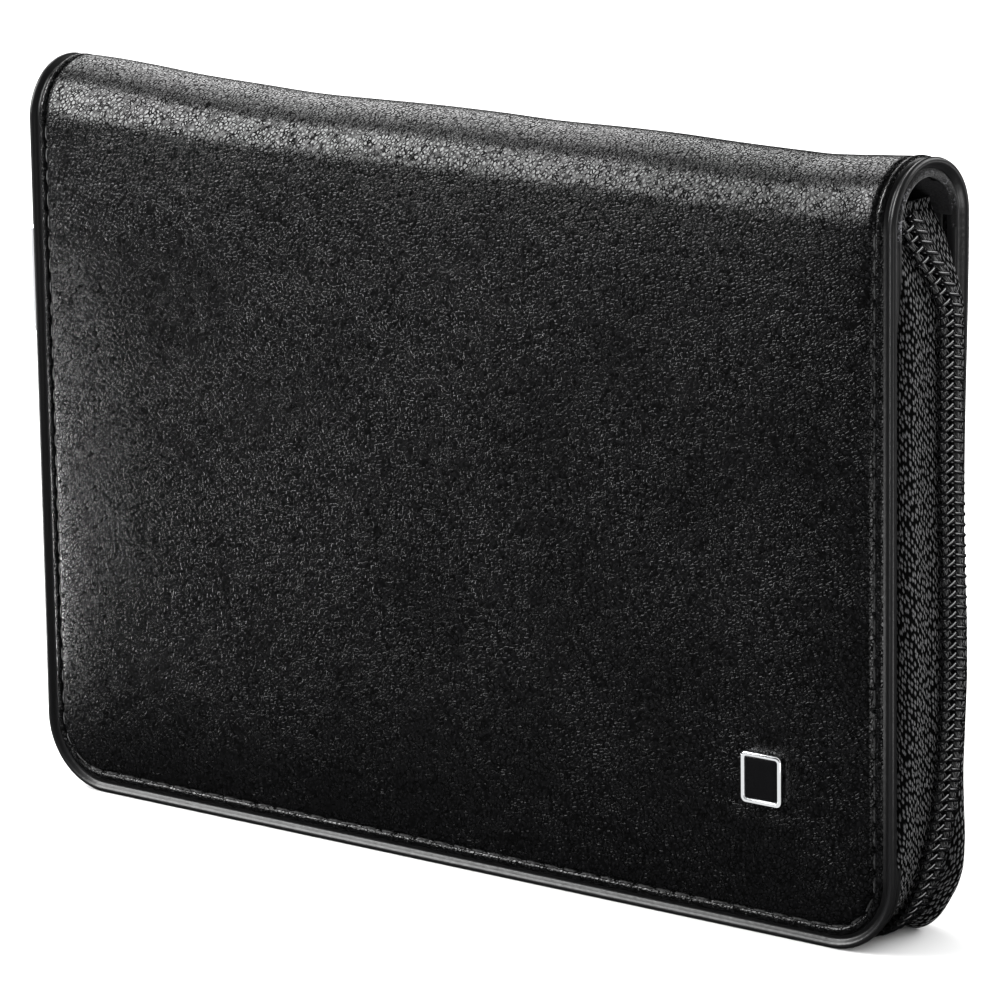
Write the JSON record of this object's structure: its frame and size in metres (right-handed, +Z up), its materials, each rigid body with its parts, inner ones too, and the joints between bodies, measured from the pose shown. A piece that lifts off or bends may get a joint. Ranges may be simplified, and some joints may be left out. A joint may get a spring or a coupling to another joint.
{
  "type": "manicure set case",
  "caption": "Zip-around leather case standing on its long edge, with an arched spine, stiff padded covers and nail tools strapped inside.",
  "frame": {"origin": "on the floor, under the middle of the closed case", "axes": "+X along the width towards the end where the zip starts, +Y towards the back cover, +Z up towards the spine"},
  "size_m": [0.1581, 0.0203, 0.1072],
  "materials": {
    "pebbled_leather": "pebble-grained, semi-matt black",
    "turned_leather": "smooth turned edge, satin black",
    "lining_cloth": "brushed black lining",
    "foam": "thin padding foam",
    "board": "pressed grey board",
    "zip_tape": "woven black tape",
    "nylon_coil": "black nylon monofilament",
    "chrome": "polished chrome plate",
    "enamel": "black enamel",
    "steel": "satin stainless steel"
  },
  "bodies": {
    "back_cover": {"back_leather": "pebbled_leather", "back_padding": "foam", "back_board": "board", "back_lining": "lining_cloth", "back_border": "turned_leather", "back_zip_tape": "zip_tape", "back_zip_chain": "nylon_coil", "back_zip_stop": "chrome", "tool_panel": "lining_cloth", "scissors_fixed_half": "steel", "scissors_screw": "steel", "scissors_strap": "turned_leather", "tweezers_rear_arm": "steel", "tweezers_front_arm": "steel", "tweezers_strap": "turned_leather", "nail_file": "steel", "nail_file_strap": "turned_leather", "cuticle_pusher": "steel", "cuticle_pusher_strap": "turned_leather", "clipper_lower_arm": "steel", "clipper_upper_arm": "steel", "clipper_pin": "steel", "clipper_strap": "turned_leather"},
    "spine": {"spine_leather": "pebbled_leather", "spine_lining": "lining_cloth", "spine_binding_left": "turned_leather", "spine_binding_right": "turned_leather"},
    "front_cover": {"front_leather": "pebbled_leather", "front_padding": "foam", "front_board": "board", "front_lining": "lining_cloth", "front_border": "turned_leather", "front_zip_tape": "zip_tape", "front_zip_chain": "nylon_coil", "front_zip_stop": "chrome", "badge_frame": "chrome", "badge_enamel": "enamel", "slip_pocket": "lining_cloth"},
    "slider": {"slider_body": "chrome", "slider_bridge": "chrome"},
    "pull": {"zip_pull": "chrome"},
    "scissors_half": {"scissors_moving_half": "steel"},
    "lever": {"clipper_lever": "steel"}
  },
  "joints": [
    {"name": "spine_fold", "type": "hinge", "parent": "back_cover", "child": "spine", "pos_m": [0, 0.0085, 0.0987], "axis": [-1, 0, 0], "range_deg": [0, 90]},
    {"name": "front_fold", "type": "hinge", "parent": "spine", "child": "front_cover", "pos_m": [0, -0.0085, 0.0987], "axis": [-1, 0, 0], "range_deg": [0, 90]},
    {"name": "slider_travel", "type": "slide", "parent": "back_cover", "child": "slider", "axis": [0, 0, -1], "range_m": [0, 0.072], "deforming": ["front_zip_chain", "back_zip_chain"]},
    {"name": "pull_swing", "type": "hinge", "parent": "slider", "child": "pull", "pos_m": [-0.07805, 0, 0.0927], "axis": [0, 1, 0], "range_deg": [0, 160]},
    {"name": "scissors_pivot", "type": "hinge", "parent": "back_cover", "child": "scissors_half", "pos_m": [0.04033, 0.0017, 0.062], "axis": [0, -1, 0], "range_deg": [0, 8]},
    {"name": "clipper_lever_turn", "type": "hinge", "parent": "back_cover", "child": "lever", "pos_m": [-0.05153, -0.0025, 0.056], "axis": [0, -1, 0], "range_deg": [0, 180]}
  ],
  "couplings": [
    {"joint": "front_fold", "follows": "spine_fold", "ratio": 1}
  ]
}
